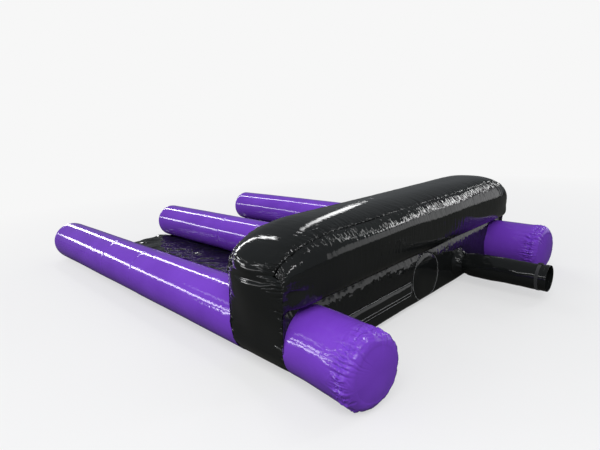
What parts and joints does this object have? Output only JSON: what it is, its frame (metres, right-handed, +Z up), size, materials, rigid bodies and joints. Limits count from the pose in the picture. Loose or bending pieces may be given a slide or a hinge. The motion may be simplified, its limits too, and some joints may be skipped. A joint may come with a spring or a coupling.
{
  "type": "inflatable two-lane end wall",
  "caption": "Air-blown purple tubes side by side with ground sheets between them, a black cross wall over one end, a zip flap and a blower sleeve.",
  "frame": {"origin": "middle of the wall's base on the floor, under the centre tube's centre line", "axes": "+X along the tubes towards the blower's side, +Y across the lanes to the far side, +Z up"},
  "size_m": [5.11, 3.45, 0.94],
  "materials": {
    "purple_fabric": "glossy PVC-coated polyester tarpaulin, deep violet",
    "black_fabric": "glossy PVC-coated polyester tarpaulin, black",
    "zip_tape_fabric": "woven polyester zip tape",
    "black_plastic": "moulded acetal",
    "zip_metal": "plated zinc die casting",
    "grip_tape": "hook and loop tape",
    "webbing": "woven polypropylene webbing"
  },
  "bodies": {
    "envelope": {"near_lane_tube": "purple_fabric", "near_lane_tube_end_panel": "purple_fabric", "near_lane_tube_middle_panel": "purple_fabric", "near_lane_tube_cap": "purple_fabric", "centre_lane_tube": "purple_fabric", "centre_lane_tube_end_panel": "purple_fabric", "centre_lane_tube_middle_panel": "purple_fabric", "centre_lane_tube_cap": "purple_fabric", "far_lane_tube": "purple_fabric", "far_lane_tube_end_panel": "purple_fabric", "far_lane_tube_middle_panel": "purple_fabric", "far_lane_tube_cap": "purple_fabric", "near_stub": "purple_fabric", "near_stub_cap": "purple_fabric", "far_stub": "purple_fabric", "far_stub_cap": "purple_fabric", "wall_top_panel": "black_fabric", "wall_front_panel": "black_fabric", "wall_rear_panel": "black_fabric", "wall_end_panel_near": "black_fabric", "wall_end_panel_far": "black_fabric", "base_front_panel": "black_fabric", "centre_end_disc": "black_fabric", "base_rear_panel_near": "black_fabric", "base_rear_panel_far": "black_fabric", "corner_gusset_front_near": "black_fabric", "corner_gusset_front_far": "black_fabric", "corner_gusset_rear_near": "black_fabric", "corner_gusset_rear_far": "black_fabric", "base_floor_panel": "black_fabric", "waist_baffle": "black_fabric", "lane_sheet_near": "black_fabric", "lane_sheet_far": "black_fabric", "zip_tape": "zip_tape_fabric", "zip_chain": "black_plastic", "zip_stop_near": "black_plastic", "zip_stop_far": "black_plastic", "grip_loop_strip": "grip_tape", "sleeve_collar": "black_fabric"},
    "zip_slider": {"zip_slider": "zip_metal", "zip_pull_tab": "zip_metal"},
    "zip_flap": {"zip_flap": "black_fabric", "grip_hook_strip": "grip_tape"},
    "sleeve_neck": {"sleeve_neck": "black_fabric"},
    "sleeve": {"blower_sleeve": "black_fabric", "sleeve_hem": "black_fabric", "sleeve_strap": "webbing", "strap_buckle": "black_plastic"}
  },
  "joints": [
    {"name": "zip_travel", "type": "slide", "parent": "envelope", "child": "zip_slider", "axis": [0, -1, 0], "range_m": [0, 0.79]},
    {"name": "flap_lift", "type": "hinge", "parent": "envelope", "child": "zip_flap", "pos_m": [0.2882, -0.691, 0.257], "axis": [0, -1, 0], "range_deg": [0, 140]},
    {"name": "sleeve_swing", "type": "hinge", "parent": "envelope", "child": "sleeve_neck", "pos_m": [0.36, 0.62, 0.2], "axis": [0, 0, 1], "range_deg": [-20, 20], "stiffness_Nm_per_rad": 3},
    {"name": "sleeve_droop", "type": "hinge", "parent": "sleeve_neck", "child": "sleeve", "pos_m": [0.36, 0.62, 0.2], "axis": [0, -1, 0], "range_deg": [-6, 10], "stiffness_Nm_per_rad": 40, "springref_deg": 1.72}
  ]
}
